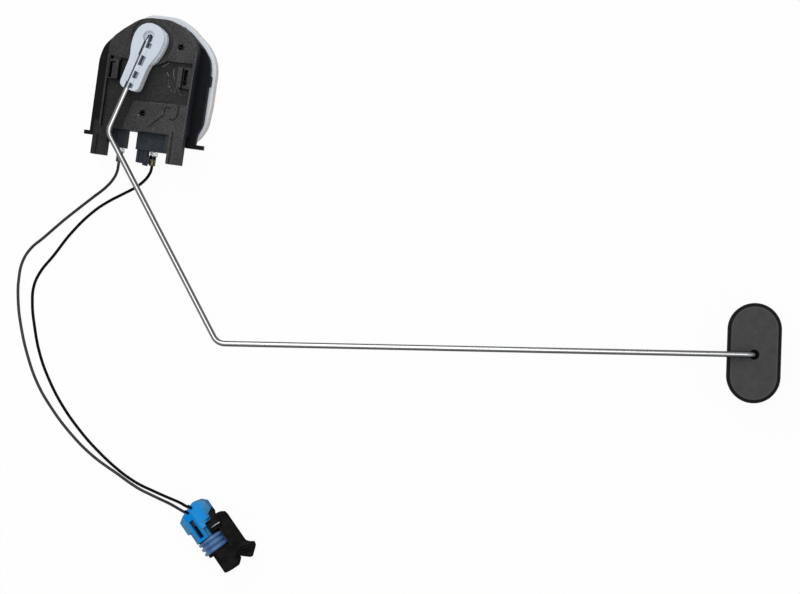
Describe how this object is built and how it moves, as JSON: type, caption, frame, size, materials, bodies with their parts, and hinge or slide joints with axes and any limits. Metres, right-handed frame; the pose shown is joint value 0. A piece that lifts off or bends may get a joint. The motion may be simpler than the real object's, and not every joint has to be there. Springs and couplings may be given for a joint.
{
  "type": "fuel level sender",
  "caption": "Moulded sender housing with a pivoted bent steel arm, an oblong float, and two thin leads to a small sealed plug.",
  "frame": {"origin": "on the back face of the rear cover, in line with the arm's pivot", "axes": "+Z out of the back face towards the arm and along the pivot, +Y up the housing, +X across the housing towards the float"},
  "size_m": [0.3537, 0.2492, 0.0224],
  "materials": {
    "black_moulding": "fine grain",
    "white_moulding": "satin",
    "holder_moulding": "satin",
    "card_ceramic": "fired",
    "tinned_brass": "tinned",
    "spring_alloy": "rolled",
    "contact_metal": "polished",
    "rod_steel": "drawn wire",
    "clip_steel": "stamped",
    "float_rubber": "moulded closed-cell foam",
    "lead_jacket": "extruded",
    "seal_rubber": "moulded",
    "blue_moulding": "satin gloss",
    "blue_rubber": "moulded",
    "plug_moulding": "satin"
  },
  "bodies": {
    "sender": {"housing": "black_moulding", "rear_cover": "white_moulding", "resistor_card": "card_ceramic", "left_terminal": "tinned_brass", "right_terminal": "tinned_brass", "left_wire": "lead_jacket", "right_wire": "lead_jacket", "wire_seal": "seal_rubber", "lock_cap": "blue_moulding", "plug_seal": "blue_rubber", "connector_body": "plug_moulding", "left_socket": "tinned_brass", "right_socket": "tinned_brass"},
    "arm": {"arm_holder": "holder_moulding", "wiper_carrier": "white_moulding", "wiper_spring": "spring_alloy", "inner_contact": "contact_metal", "outer_contact": "contact_metal", "float_arm": "rod_steel", "float_clip": "clip_steel"},
    "float_body": {"float": "float_rubber"}
  },
  "joints": [
    {"name": "float_arm_swing", "type": "hinge", "parent": "sender", "child": "arm", "pos_m": [0, 0, 0.0165], "axis": [0, 0, 1], "range_deg": [-8, 40.8]},
    {"name": "float_swivel", "type": "hinge", "parent": "arm", "child": "float_body", "pos_m": [0.28733, -0.10476, 0.0095], "axis": [0, 0, 1], "continuous": true}
  ]
}
